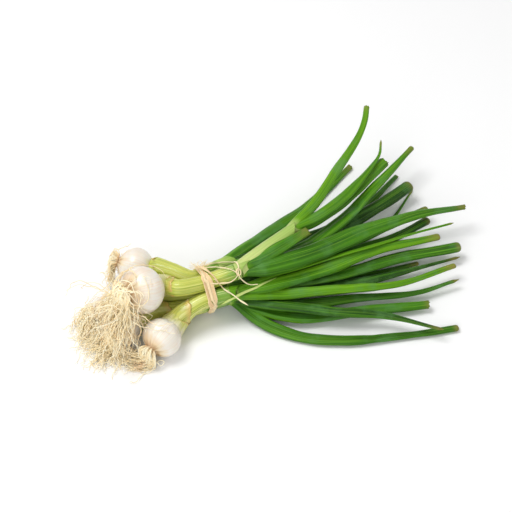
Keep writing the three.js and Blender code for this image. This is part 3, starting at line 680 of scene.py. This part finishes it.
def addLeaf(skin, strand, random):
    points, along, way = leafRings(strand, random)
    rows, moves = closeLeaf(strand, points, way, random)
    run = np.concatenate([along, along[-1] + np.array(moves)])
    fromTip = np.maximum(run[-1] - run, 0)
    usual = "greenByOnPale" if strand["onion"] in leafShape["paleOnions"] else "greenByElse"
    green = ease((run + 3) / leafShape["greenBy"].get(strand["name"], leafShape[usual]))
    dryLength = random.uniform(7, 22)
    dry = 0.85 * (1 - ease(fromTip / dryLength)) * random.uniform(0.6, 1.15)
    if strand["name"] in leafShape["dryTips"]:
        dry = np.maximum(dry, 0.6 * (1 - ease(fromTip / leafShape["dryOver"])))
    if strand["end"] == "cut":
        dry[-6:] = np.maximum(dry[-6:], 0.6)
    # the tone carries the leaf's own green together with its painted shade
    addTube(skin, rows, run, green, leafShape["tonesWithShade"][strand["name"]], np.clip(dry, 0, 1))


sheathShape = {
    "sides": 48, "long": 10, "slant": 6.4, "waves": ((0.8, 2), (0.25, 5)), "tone": 0.3,
    "inside": [(10.6, 0.84, 1), (10.4, 0.81, 1), (8, 0.8, 0.8), (4, 0.6, 0.2)],
    "green": {"onion_1": 0.38, "onion_2": 0.85, "onion_3": 0.45, "onion_4": 0.75, "onion_5": 0.75},
}


def addSheath(skin, onion, random):
    # the sheath that the leaves come out of, open at its mouth, with a long slanting edge
    route = [s for s in strands if s["onion"] == onion["name"] and s["kind"] == "stem"][0]["route"]
    way = unit(route[-1] - route[-2])
    angle = anglesRound(sheathShape["sides"])
    phase = phases(random, 3)
    mouth = sheathShape["slant"] * np.sin(angle + phase[0])
    for (height, count), start in zip(sheathShape["waves"], phase[1:]):
        mouth = mouth + height * np.sin(count * angle + start)
    ring = circle(angle, *sideAndRise(way))
    shares = [(0.3 + sheathShape["long"] * t, 0.99 - 0.13 * t, ease(t)) for t in np.linspace(0, 1, 12)]
    shares += sheathShape["inside"]
    rows = np.array([route[-1] + ring * onion["stem"] * scale + way * (distance + mouth * part)[:, None]
                     for distance, scale, part in shares])
    along = np.array([s[0] for s in shares])
    green = sheathShape["green"][onion["name"]]
    addTube(skin, rows, along, green * (green + (1 - green) * ease(along / 11)), sheathShape["tone"])


def addUpper(skin, strand):
    # the long stem of onion 1 above the tie, with a slanting end that its upper leaves come out of
    share = np.linspace(0.06, 1, 60)
    line = splineAt(strand["now"], share)
    way, side, rise = framesAlong(line)
    angle = anglesRound(40)
    ridge = 1 + 0.018 * np.sin(7 * angle + 1.2) + 0.012 * np.sin(12 * angle + 0.4)
    radius = (7.3 - 1.1 * share)[:, None] * ridge
    slant = 5.5 * ease((share - 0.82) / 0.18)[:, None] * np.cos(angle - 2.4)
    rows = line[:, None] + radius[..., None] * circle(angle, side, rise, upperStem["flat"])
    rows = rows + way[:, None] * slant[..., None]
    addTube(skin, rows, strand["length"] * share, 0.02 + 0.34 * ease(share), 0.4)


foldShape = {
    "piece": "onion_2", "wide": 4.4, "narrow": 1.6, "thick": 1.0, "steps": 60, "sides": 12, "tone": 0.2,
    "points": [(2.1, -13.9, 15.4), (11.0, -21.4, 28.6), (20.5, -21.9, 31.8), (31.1, -19.6, 31.2),
               (40.7, -19.4, 32.3), (51.1, -17.7, 33.0), (62.3, -16.5, 33.6)],
}


def addFold(skin):
    # the pale edge of a sheath that lies over the lower leaves
    line, length = evenRoute(foldShape["points"], foldShape["steps"])
    share = np.linspace(0, 1, len(line))
    side, rise = framesAlong(line)[1:]
    angle = anglesRound(foldShape["sides"], 0)
    wide = foldShape["wide"] + (foldShape["narrow"] - foldShape["wide"]) * share
    wide = wide * (0.3 + 0.7 * ease((1 - share) / 0.1))
    x = wide[:, None] / 2 * np.cos(angle)
    z = foldShape["thick"] / 2 * np.sin(angle) * (0.5 + 0.5 * share[::-1, None])
    green = 0.08 + 0.3 * ease((share - 0.6) / 0.4)
    addTube(skin, ringsAt(line, side, rise, x, z), length * share, green, foldShape["tone"])


leafPieces = {}
for onion in onions:
    name = onion["name"]
    random = np.random.default_rng(leafShape["seed"] + int(name[-1]))
    skin = newSkin()
    addSheath(skin, onion, random)
    if name == foldShape["piece"]:
        addFold(skin)
    for strand in [s for s in strands if s["onion"] == name]:
        if strand["kind"] == "upper":
            addUpper(skin, strand)
        if strand["kind"] == "leaf":
            addLeaf(skin, strand, random)
    leafPieces[name] = skinObject(name + "Leaves", skin, leafMaterial)
print("leaves made")


# bulbs and stems

bulbShape = {
    "ballRings": 46, "stemRings": 80, "sides": 64, "lineSteps": 240, "seed": 7,
    "palePast": {"onion_1": 30, "onion_2": 6, "onion_3": 24, "onion_4": 2, "onion_5": 2},
}


def bulbLine(onion, s):
    steps = bulbShape["lineSteps"]
    line, length = evenRoute(stemGuide(onion), steps)
    at = np.clip(np.asarray(s) / length, 0, 1) * steps
    points = np.stack([np.interp(at, np.arange(steps + 1), line[:, k]) for k in range(3)], -1)
    return points, length


def bulbShare(onion, s):
    # 0.9 comes where the tie grips the stem, or further on where the stem stays pale
    ball = 2 * onion["radius"] * stemShape["plate"]
    reach = tieReach(onion) + bulbShape["palePast"][onion["name"]]
    return np.where(s < ball, 0.5 * s / ball, 0.5 + 0.4 * (s - ball) / (reach - ball))


def bulbRings(onion, random):
    r = onion["radius"]
    length = bulbLine(onion, 0.0)[1]
    turn = np.linspace(0.03, 1, bulbShape["ballRings"]) * math.pi * 0.9
    ball = stemShape["plate"] * r * (1 - np.cos(turn))
    s = np.concatenate([ball, np.linspace(ball[-1], length, bulbShape["stemRings"])[1:]])
    line = bulbLine(onion, s)[0]
    side, rise = framesAlong(line)[1:]
    angle = anglesRound(bulbShape["sides"])
    phase = phases(random, 6)
    neck = ease((s - stemShape["neckFrom"] * r) / (0.6 * r))[:, None]
    rib = neck * (0.022 * np.sin(6 * angle + phase[0]) + 0.016 * np.sin(11 * angle + phase[1]))
    rib = rib + neck * 0.02 * np.sin(3 * angle + s[:, None] / 17 + phase[4])
    lump = (0.018 * np.sin(2 * angle + phase[2]) + 0.008 * np.sin(5 * angle + phase[3])) * (1 - neck)
    pleat = 0.004 * np.sin(23 * angle + phase[5]) * (1 - neck)
    radius = bulbRadius(onion, s)[:, None] * (1 + rib + lump + pleat)
    return aboveFloor(line[:, None] + radius[..., None] * circle(angle, side, rise)), s


paperShape = {
    "sides": 64, "rows": 26, "slant": 0.22, "tear": 0.35, "sunk": 0.3, "curl": 0.35, "thick": 0.22,
    "inside": (0.995, 0.9, 0.75), "innerEnd": (0.6, -0.6), "beforeTie": 8,
    # start in radii, share of the way to the tie, how far it stands off, where it is longest
    "skins": {
        "onion_1": [(1.45, 0.62, 0.35, 2.6), (1.55, 0.88, 0.2, 0.4)],
        "onion_2": [(1.30, 0.55, 0.5, -0.6), (1.5, 0.9, 0.25, 2.2)],
        "onion_3": [(1.45, 0.6, 0.35, 1.2)],
        "onion_4": [(1.45, 0.6, 0.3, 0.8)],
        "onion_5": [(1.45, 0.6, 0.3, 2.0)],
    },
}


def addPaper(skin, onion, start, end, lift, turn, random):
    # a thin outer skin that wraps the neck and ends in a torn slanting edge
    cols = paperShape["sides"]
    angle = anglesRound(cols)
    phase = phases(random, 4)
    edge = end + paperShape["slant"] * (end - start) * np.cos(angle - turn)
    edge = edge + 0.9 * np.sin(3 * angle + phase[0]) + 0.5 * np.sin(8 * angle + phase[1])
    edge = edge + random.uniform(-paperShape["tear"], paperShape["tear"], cols)

    def raisedBy(t, sunk=0.0):
        inner = lift * ease(t / 0.25) - sunk * (1 - ease(t / 0.12))
        return inner + paperShape["curl"] * ease((t - 0.86) / 0.14)

    steps = [(t, raisedBy(t, paperShape["sunk"])) for t in np.linspace(0, 1, paperShape["rows"])]
    steps += [(t, raisedBy(t) - paperShape["thick"]) for t in paperShape["inside"]]
    steps += [paperShape["innerEnd"]]
    rows, dry, shares = [], [], []
    for t, raised in steps:
        s = start + (edge - start) * t
        middle = bulbLine(onion, np.array([start - 1, start, start + 1]) + (s.mean() - start))[0]
        side, rise = sideAndRise(unit(middle[2] - middle[0]))
        radius = bulbRadius(onion, s) * 1.012 + raised
        rows.append(bulbLine(onion, s)[0] + radius[:, None] * circle(angle, side, rise))
        dry.append(np.full(cols, 0.12 + 0.75 * ease((t - 0.8) / 0.2)))
        shares.append(bulbShare(onion, s))
    along = start + (end - start) * np.array([step[0] for step in steps])
    addTube(skin, aboveFloor(np.array(rows)), along, np.array(shares), random.uniform(0, 1), np.array(dry))


bulbPieces = {}
for onion in onions:
    name = onion["name"]
    random = np.random.default_rng(bulbShape["seed"] + int(name[-1]))
    skin = newSkin()
    rows, along = bulbRings(onion, random)
    addTube(skin, rows, along, bulbShare(onion, along), random.uniform(0, 1))
    for start, end, lift, turn in paperShape["skins"][name]:
        first = start * onion["radius"]
        last = first + (tieReach(onion) - paperShape["beforeTie"] - first) * end
        addPaper(skin, onion, first, last, lift, turn, random)
    bulbPieces[name] = skinObject(name + "Bulb", skin, bulbMaterial)
print("bulbs made")


# roots

rootShape = {
    "joints": 20, "thick": 0.50, "waver": 2.0, "waverScale": 190.0, "sides": 5, "highest": 69, "lowest": 0.7,
    "widest": 1.2, "pile": 13, "fineShare": 0.22, "fine": 0.38, "curl": 0.42, "shake": 0.25, "rounds": 40,
    "fall": 0.45, "smooth": 0.04, "clear": 0.7, "seed": 19,
    # number of hairs, share of the root length, how wide they fan out, which way they drift
    "tufts": {
        "onion_1": {"count": 330, "reach": 1.0, "spread": 1.3, "drift": (-0.06, -0.07, -0.20)},
        "onion_2": {"count": 180, "reach": 0.95, "spread": 0.7, "drift": (-0.40, 0.30, -0.05)},
        "onion_3": {"count": 150, "reach": 0.60, "spread": 1.1, "drift": (-0.04, -0.04, -0.16)},
        "onion_4": {"count": 270, "reach": 1.0, "spread": 1.3, "drift": (-0.10, 0.02, -0.14)},
        "onion_5": {"count": 240, "reach": 0.92, "spread": 1.1, "drift": (-0.08, -0.24, -0.14)},
    },
}


def startTufts(random):
    # where each hair leaves its plate, its way, length, owner and drift
    goldenAngle = 2.399963
    columns = []
    for index, onion in enumerate(onions):
        tuft = rootShape["tufts"][onion["name"]]
        count = tuft["count"]
        out = unit(onion["rootWay"])
        side, rise = sideAndRise(out)
        plate = np.array(onion["bulb"], float) + out * (onion["radius"] * stemShape["plate"] + 0.8)
        ring = np.sqrt((np.arange(count) + 0.5) / count)
        turn = np.arange(count) * goldenAngle + random.uniform(0, 0.5, count)
        radial = circle(turn, side, rise)
        spread = 0.1 + tuft["spread"] * ring * random.uniform(0.7, 1.15, count)
        spread = np.minimum(spread, rootShape["widest"])
        columns.append((
            plate + radial * (0.32 * onion["radius"] * ring)[:, None],
            np.cos(spread)[:, None] * out + np.sin(spread)[:, None] * radial,
            onion["rootLength"] * tuft["reach"] * random.uniform(0.6, 1.3, count),
            np.full(count, index),
            np.tile(tuft["drift"], (count, 1)),
        ))
    return [np.concatenate(column) for column in zip(*columns)]


def growRoots():
    random = np.random.default_rng(rootShape["seed"])
    joints = rootShape["joints"]
    start, way, length, owner, drift = startTufts(random)
    many = len(start)
    pile = random.uniform(0.2, 1, many) ** 2 * rootShape["pile"]
    isFine = random.uniform(0, 1, many) < rootShape["fineShare"]
    girth = np.where(isFine, rootShape["fine"], random.uniform(0.75, 1.2, many))
    length = np.where(girth < 0.5, length * 0.85, length)
    step = (length / joints)[:, None]
    axis = unit(random.normal(0, 1, (many, 3)))
    spin = random.uniform(-1, 1, (many, 1)) * rootShape["curl"]
    line = [start]
    heading = way.copy()
    for k in range(joints):
        axis = unit(axis + random.normal(0, 0.35, axis.shape))
        shaken = heading + np.cross(axis, heading) * spin * min(1, k / 3)
        shaken = shaken + random.normal(0, rootShape["shake"], heading.shape)
        heading = unit(shaken + drift * min(1.0, 0.3 + k / 8))
        line.append(line[-1] + heading * step)
    line = np.stack(line, 1)
    thin = np.linspace(1, 0.25, joints) * random.uniform(0.6, 1.2, (many, joints))
    line = layRoots(line, start, step, 0.5 + pile[:, None] * thin)
    return line, owner, random.uniform(0, 1, many), girth


def layRoots(line, start, step, lowest):
    # hairs sink until they lie on the pile below them, outside the balls and stems
    stems = [s for s in strands if s["kind"] == "stem"]
    centres = np.concatenate([s["route"][::2] for s in stems])
    radii = np.concatenate([s["size"][::2, 0] for s in stems])
    for _ in range(rootShape["rounds"]):
        line[:, 2:, 2] -= rootShape["fall"]
        line[:, 1:-1] += rootShape["smooth"] * (0.5 * (line[:, :-2] + line[:, 2:]) - line[:, 1:-1])
        line[:, 0] = start
        flat = line[:, 1:].reshape(-1, 3)
        near = np.linalg.norm(flat[:, None] - centres[None], axis=2) - radii[None]
        for _ in range(2):
            worst = np.argmin(near, 1)
            away = flat - centres[worst]
            gap = np.linalg.norm(away, axis=1, keepdims=True)
            deep = np.maximum(radii[worst][:, None] + rootShape["clear"] - gap, 0)
            flat += away / np.maximum(gap, 1e-6) * deep
            near[np.arange(len(flat)), worst] = 1e3
        line[:, 1:] = flat.reshape(line[:, 1:].shape)
        line[:, 1:, 2] = np.maximum(line[:, 1:, 2], lowest)
        for k in range(1, line.shape[1]):
            line[:, k] = line[:, k - 1] + unit(line[:, k] - line[:, k - 1]) * step
    line[..., 2] = np.clip(line[..., 2], rootShape["lowest"], rootShape["highest"])
    return line


def rootTree():
    tree = bpy.data.node_groups.new("rootHairs", "GeometryNodeTree")
    for name, kind, value in (("Geometry", "Geometry", None), ("Thickness", "Float", 0.0004),
                              ("Waver", "Float", 0.001), ("Waver scale", "Float", 120.0), ("Sides", "Int", 5),
                              ("Material", "Material", None)):
        socket = tree.interface.new_socket(name, in_out="INPUT", socket_type="NodeSocket" + kind)
        if value is not None:
            socket.default_value = value
    tree.interface.new_socket("Geometry", in_out="OUTPUT", socket_type="NodeSocketGeometry")
    given = node(tree, "NodeGroupInput").outputs

    def made(kind, values=None, **settings):
        return node(tree, kind, values, **settings).outputs[0]

    def vector(operation, a, b):
        return made("ShaderNodeVectorMath", {0: a, 1: b}, operation=operation)

    def named(name):
        return made("GeometryNodeInputNamedAttribute", {"Name": name}, data_type="FLOAT")

    # a smooth curve through the joints, wavering more towards its end and kept off the floor
    curve = made("GeometryNodeMeshToCurve", {0: given["Geometry"]})
    curve = made("GeometryNodeCurveSplineType", {0: curve}, spline_type="CATMULL_ROM")
    curve = made("GeometryNodeResampleCurve", {0: curve, "Count": 26})
    lifted = vector("ADD", made("GeometryNodeInputPosition"), named("tone"))
    values = {"Vector": lifted, "Scale": given["Waver scale"], "Detail": 1.0}
    noise = node(tree, "ShaderNodeTexNoise", values).outputs["Color"]
    centred = vector("SUBTRACT", noise, (0.5, 0.5, 0.42))
    share = node(tree, "GeometryNodeSplineParameter").outputs["Factor"]
    grown = math2(tree, "MULTIPLY", given["Waver"], math2(tree, "MULTIPLY", share, 4.0))
    offset = made("ShaderNodeVectorMath", {0: centred, "Scale": grown}, operation="SCALE")
    curve = made("GeometryNodeSetPosition", {0: curve, "Offset": offset})
    place = made("GeometryNodeInputPosition")
    x, y, z = node(tree, "ShaderNodeSeparateXYZ", {0: place}).outputs
    z = math2(tree, "MAXIMUM", z, given["Thickness"])
    raised = made("ShaderNodeCombineXYZ", {0: x, 1: y, 2: z})
    curve = made("GeometryNodeSetPosition", {0: curve, "Position": raised})

    # a round section that tapers
    thick = math2(tree, "MULTIPLY", given["Thickness"], named("girth"))
    left = math2(tree, "SUBTRACT", 1.0, math2(tree, "MULTIPLY", share, 0.55))
    taper = math2(tree, "MULTIPLY", thick, left)
    profile = made("GeometryNodeCurvePrimitiveCircle", {"Radius": 1.0, "Resolution": given["Sides"]})
    hairs = made("GeometryNodeCurveToMesh", {"Curve": curve, "Profile Curve": profile, "Scale": taper,
                                             "Fill Caps": True})
    hairs = made("GeometryNodeSetShadeSmooth", {0: hairs})
    hairs = made("GeometryNodeRealizeInstances", {0: hairs})
    hairs = made("GeometryNodeSetMaterial", {0: hairs, "Material": given["Material"]})
    node(tree, "NodeGroupOutput", {0: hairs})
    return tree


def applyTree(piece, tree, values):
    modifier = piece.modifiers.new("shape", "NODES")
    modifier.node_group = tree
    for item in tree.interface.items_tree:
        if item.item_type == "SOCKET" and item.in_out == "INPUT" and item.name in values:
            modifier[item.identifier] = values[item.name]
    bpy.context.view_layer.update()
    evaluated = piece.evaluated_get(bpy.context.evaluated_depsgraph_get())
    plain = bpy.data.meshes.new_from_object(evaluated)
    piece.modifiers.remove(modifier)
    old = piece.data
    piece.data = plain
    plain.name = piece.name
    bpy.data.meshes.remove(old)


rootLines, rootOwner, rootTone, rootGirth = growRoots()
hairTree = rootTree()
hairInputs = {
    "Thickness": rootShape["thick"] / 1000, "Waver": rootShape["waver"] / 1000,
    "Waver scale": rootShape["waverScale"], "Sides": rootShape["sides"], "Material": rootMaterial,
}
rootPieces = {}
for index, onion in enumerate(onions):
    mine = rootOwner == index
    lines = rootLines[mine]
    many, joints = lines.shape[:2]
    mesh = bpy.data.meshes.new(onion["name"] + "Roots")
    edges = [(n * joints + k, n * joints + k + 1) for n in range(many) for k in range(joints - 1)]
    mesh.from_pydata(toFrame(lines.reshape(-1, 3)).tolist(), edges, [])
    setAttributes(mesh, {"tone": np.repeat(rootTone[mine], joints),
                         "girth": np.repeat(rootGirth[mine], joints),
                         "share": np.tile(np.linspace(0, 1, joints), many)})
    rootPieces[onion["name"]] = newObject(onion["name"] + "Roots", mesh)
    applyTree(rootPieces[onion["name"]], hairTree, hairInputs)
print("roots made")


# raffia tie

tieShape = {
    "fibreWidth": 1.05, "fibreThick": 0.8, "spread": 0.82, "around": 180, "sides": 9, "lowest": 0.45,
    "seed": 5,
    "strands": [  # place along the bunch, wave, phase, height off the stems, tone, fibres
        (-1.7, 1.1, 0.0, 1.0, 0.25, 5), (1.6, 1.1, 2.9, 1.0, 0.45, 5), (0.2, 1.7, 1.3, 1.75, 0.62, 3),
    ],
    "looseThick": 0.75,
    "loose": [  # points, width, tone
        ([(-1, 12, 45.6), (1.5, 6, 49.4), (5.2, -0.4, 48.9), (8.7, -9.3, 45.4),
          (12.7, -14.6, 38.6)], 2.4, 0.35),
        ([(7, -7, 46.9), (12.7, -14.4, 38.9), (18.9, -21.8, 35.0), (23.3, -27.8, 32.5),
          (28.0, -34.2, 30.5)], 1.3, 0.98),
        ([(-1, 11, 46.4), (5, 12, 45.0), (12.9, 13.6, 42.2), (21.9, 11.6, 42.4), (29, 6.5, 44.8),
          (30.6, 0.5, 50.9), (30.2, -6.0, 51.2), (28.6, -10.6, 48.6), (29.5, -12.8, 43.8),
          (36.5, -15.6, 35.2), (44.0, -18.2, 34.4)], 1.2, 0.9),
        ([(30.0, -8.0, 50.4), (27.0, -11.6, 47.2), (23.0, -12.8, 44.6), (18.5, -13.0, 43.0),
          (12.0, -11.6, 43.6), (5.0, -10.0, 44.2), (1.0, -9.0, 44.6)], 1.3, 0.75),
        ([(0, 8, 48.2), (6, 5, 49.6), (13, 2, 50.4), (20, -3, 50.9), (26, -8.5, 50.0),
          (28.5, -11.5, 47.8)], 1.0, 0.85),
        ([(26.6, -8.6, 50.0), (28.6, -7.6, 51.9), (30.6, -8.8, 50.6), (30.0, -11.4, 47.6),
          (27.8, -11.6, 47.4), (26.8, -9.4, 49.6), (28.8, -8.2, 51.4)], 1.2, 0.6),
    ],
    "fuzz": [(-9.5, 12.5), (-5, 18), (2, 20), (8, 17), (12.5, 12.5), (-7.5, 16), (5, 15), (15.5, 10)],
    "fuzzEach": 3, "fuzzHeight": 46.0, "fuzzThick": 0.3,
}


def wrapPoint(angle, off):
    # the outermost stem in this direction, and a point that far off it
    normal = np.array([0, math.cos(angle), math.sin(angle)])
    best = max(onions, key=lambda o: slotPoint(o["slot"], 0) @ normal + o["stem"])
    return slotPoint(best["slot"], 0) + normal * (best["stem"] + off)


def ribbonRings(line, width, thickness, random, sides=12):
    side, rise = sideAndRise(unit(np.gradient(line, axis=0)), (0, 0.2, 1))
    run = runAlong(line)
    angle = anglesRound(sides, 0)
    phase = phases(random, 5)
    wide = width / 2 * (1 + 0.14 * np.sin(run / 3.1 + phase[0]) + 0.08 * np.sin(run / 1.4 + phase[1]))
    wide = wide * (0.4 + 0.6 * ease(np.minimum(run, run[-1] - run) / 3))
    thick = thickness / 2 * (1 + 0.2 * np.sin(run / 2.3 + phase[2]))
    x = wide[:, None] * np.cos(angle)
    z = thick[:, None] * np.sin(angle) * (1 + 0.3 * np.cos(4 * angle))
    x, z = turned(x, z, 0.9 * np.sin(run / 11 + phase[3]))
    line = line + side * (0.18 * np.sin(run / 2.6 + phase[4]))[:, None]
    return ringsAt(line, side, rise, x, z), run


def bandFibre(skin, x, wave, phase, off, across, tone, random):
    # one fibre of a strand, closed round the stems and twisted among its neighbours
    turns = anglesRound(tieShape["around"], 0)
    shift = phases(random, 5)
    twist = 0.8 * np.sin(2 * turns + 1.7 * phase) + 0.3 * np.sin(5 * turns + phase)
    wander = 0.14 * np.sin(7 * turns + shift[0]) + 0.1 * np.sin(13 * turns + shift[1])
    lift = off + 0.45 * across * np.sin(twist) + 0.12 * np.sin(9 * turns + shift[2])
    line = np.array([wrapPoint(a, max(b, tieShape["lowest"])) for a, b in zip(turns, lift)])
    line[:, 0] = x + wave * np.sin(2 * turns + phase) + across * np.cos(twist) + wander
    outward = np.stack([0 * turns, np.cos(turns), np.sin(turns)], -1)
    side, rise = sideAndRise(unit(np.roll(line, -1, 0) - np.roll(line, 1, 0)), outward)
    angle = anglesRound(tieShape["sides"], 0)
    swell = 1 + 0.12 * np.sin(6 * turns + shift[3]) + 0.1 * np.sin(17 * turns + shift[4])
    rows = ringsAt(line, side, rise, tieShape["fibreWidth"] / 2 * swell[:, None] * np.cos(angle),
                   tieShape["fibreThick"] / 2 * swell[:, None] * np.sin(angle))
    run = runAlong(np.concatenate([line, line[:1]]))
    addTube(skin, np.concatenate([rows, rows[:1]]), run, 0 * run, tone)


def makeTie():
    random = np.random.default_rng(tieShape["seed"])
    skin = newSkin()
    for x, wave, phase, off, tone, fibres in tieShape["strands"]:
        for n in range(fibres):
            across = (n - 0.5 * (fibres - 1)) * tieShape["spread"]
            bandFibre(skin, x, wave, phase, off, across, tone + random.uniform(-0.2, 0.2), random)
    for points, width, tone in tieShape["loose"]:
        rows, run = ribbonRings(evenRoute(points, 70)[0], width, tieShape["looseThick"], random)
        addTube(skin, rows, run, 0 * run, tone)
    for x, y in tieShape["fuzz"]:
        for _ in range(tieShape["fuzzEach"]):
            end = np.array([x, y, tieShape["fuzzHeight"]]) + random.uniform(-2.2, 2.2, 3)
            start = np.array([random.uniform(-2, 2), random.uniform(6, 12), random.uniform(45.4, 47.2)])
            middle = 0.5 * (start + end) + random.uniform(-1.5, 1.5, 3) + (0, 0, 1.2)
            line = evenRoute([start, middle, end], 20)[0]
            rows, run = ribbonRings(line, random.uniform(0.35, 0.7), tieShape["fuzzThick"], random, 6)
            addTube(skin, rows, run, 0 * run, random.uniform(0.6, 1.0))
    return skinObject("raffiaTie", skin, raffiaMaterial)


tiePiece = makeTie()
print("tie made")


# the pieces stand for the solids

for onion in onions:
    name = onion["name"]
    for piece, part, slot in ((bulbPieces[name], "bulb", "bulb"), (leafPieces[name], "leaves", "leaf"),
                              (rootPieces[name], "roots", "root")):
        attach(piece, "root")
        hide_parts(f"{name}_{part}")
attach(tiePiece, "root")
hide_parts("raffia_tie")


# floor, light and camera

studio = {
    "floor": {"reach": 4, "colour": (0.93, 0.93, 0.93, 1), "roughness": 0.9},
    "sky": 0.46,
    "lamps": {
        "above": {"place": (-0.45, 0.35, 1.4), "size": 0.8, "power": 13.5},
        "front": {"place": (-1.0, -1.2, 0.9), "size": 1.2, "power": 9},
        "right": {"place": (1.3, -0.3, 0.9), "size": 0.9, "power": 3},
    },
}
cameraView = {"azimuth": -22, "elevation": 50, "distance": 1300, "mmPerPixel": 0.9, "pixels": 512,
              "sensor": 36, "target": (0, 0, 26), "targetPixel": (205, 290)}


def facing(aim):
    return Vector(aim.tolist()).to_track_quat("-Z", "Y").to_euler()


def makeFloor():
    a = studio["floor"]["reach"]
    mesh = bpy.data.meshes.new("floor")
    mesh.from_pydata([(-a, -a, 0), (a, -a, 0), (a, a, 0), (-a, a, 0)], [], [(0, 1, 2, 3)])
    material, tree, shader = newMaterial("paleFloor")
    feed(tree, shader, {"Base Color": studio["floor"]["colour"], "Roughness": studio["floor"]["roughness"]})
    mesh.materials.append(material)
    newObject("floor", mesh)


def makeLamps():
    for name, lamp in studio["lamps"].items():
        light = bpy.data.lights.new(name, "AREA")
        light.shape = "DISK"
        light.size = lamp["size"]
        light.energy = lamp["power"]
        holder = newObject(name, light)
        holder.location = lamp["place"]
        holder.rotation_euler = facing(-np.array(lamp["place"]))
    world = bpy.data.worlds.new("studio")
    world.use_nodes = True
    background = world.node_tree.nodes["Background"]
    feed(world.node_tree, background, {"Color": (1, 1, 1, 1), "Strength": studio["sky"]})
    bpy.context.scene.world = world
    bpy.context.scene.view_settings.view_transform = "Standard"


def makeCamera():
    a, e = math.radians(cameraView["azimuth"]), math.radians(cameraView["elevation"])
    back = np.array([math.sin(a) * math.cos(e), -math.cos(a) * math.cos(e), math.sin(e)])
    right = np.array([math.cos(a), math.sin(a), 0])
    up = np.cross(back, right)
    scale, half = cameraView["mmPerPixel"], cameraView["pixels"] // 2
    px, py = cameraView["targetPixel"]
    place = np.array(cameraView["target"], float) + back * cameraView["distance"]
    place = place - right * (px - half) * scale - up * (half - py) * scale
    data = bpy.data.cameras.new("camera")
    data.sensor_width = cameraView["sensor"]
    data.lens = cameraView["sensor"] * cameraView["distance"] / scale / cameraView["pixels"]
    data.clip_end = 50
    camera = newObject("camera", data)
    camera.location = toFrame(place).tolist()
    camera.rotation_euler = facing(-back)
    bpy.context.scene.camera = camera


makeFloor()
makeLamps()
makeCamera()
print("stage made")
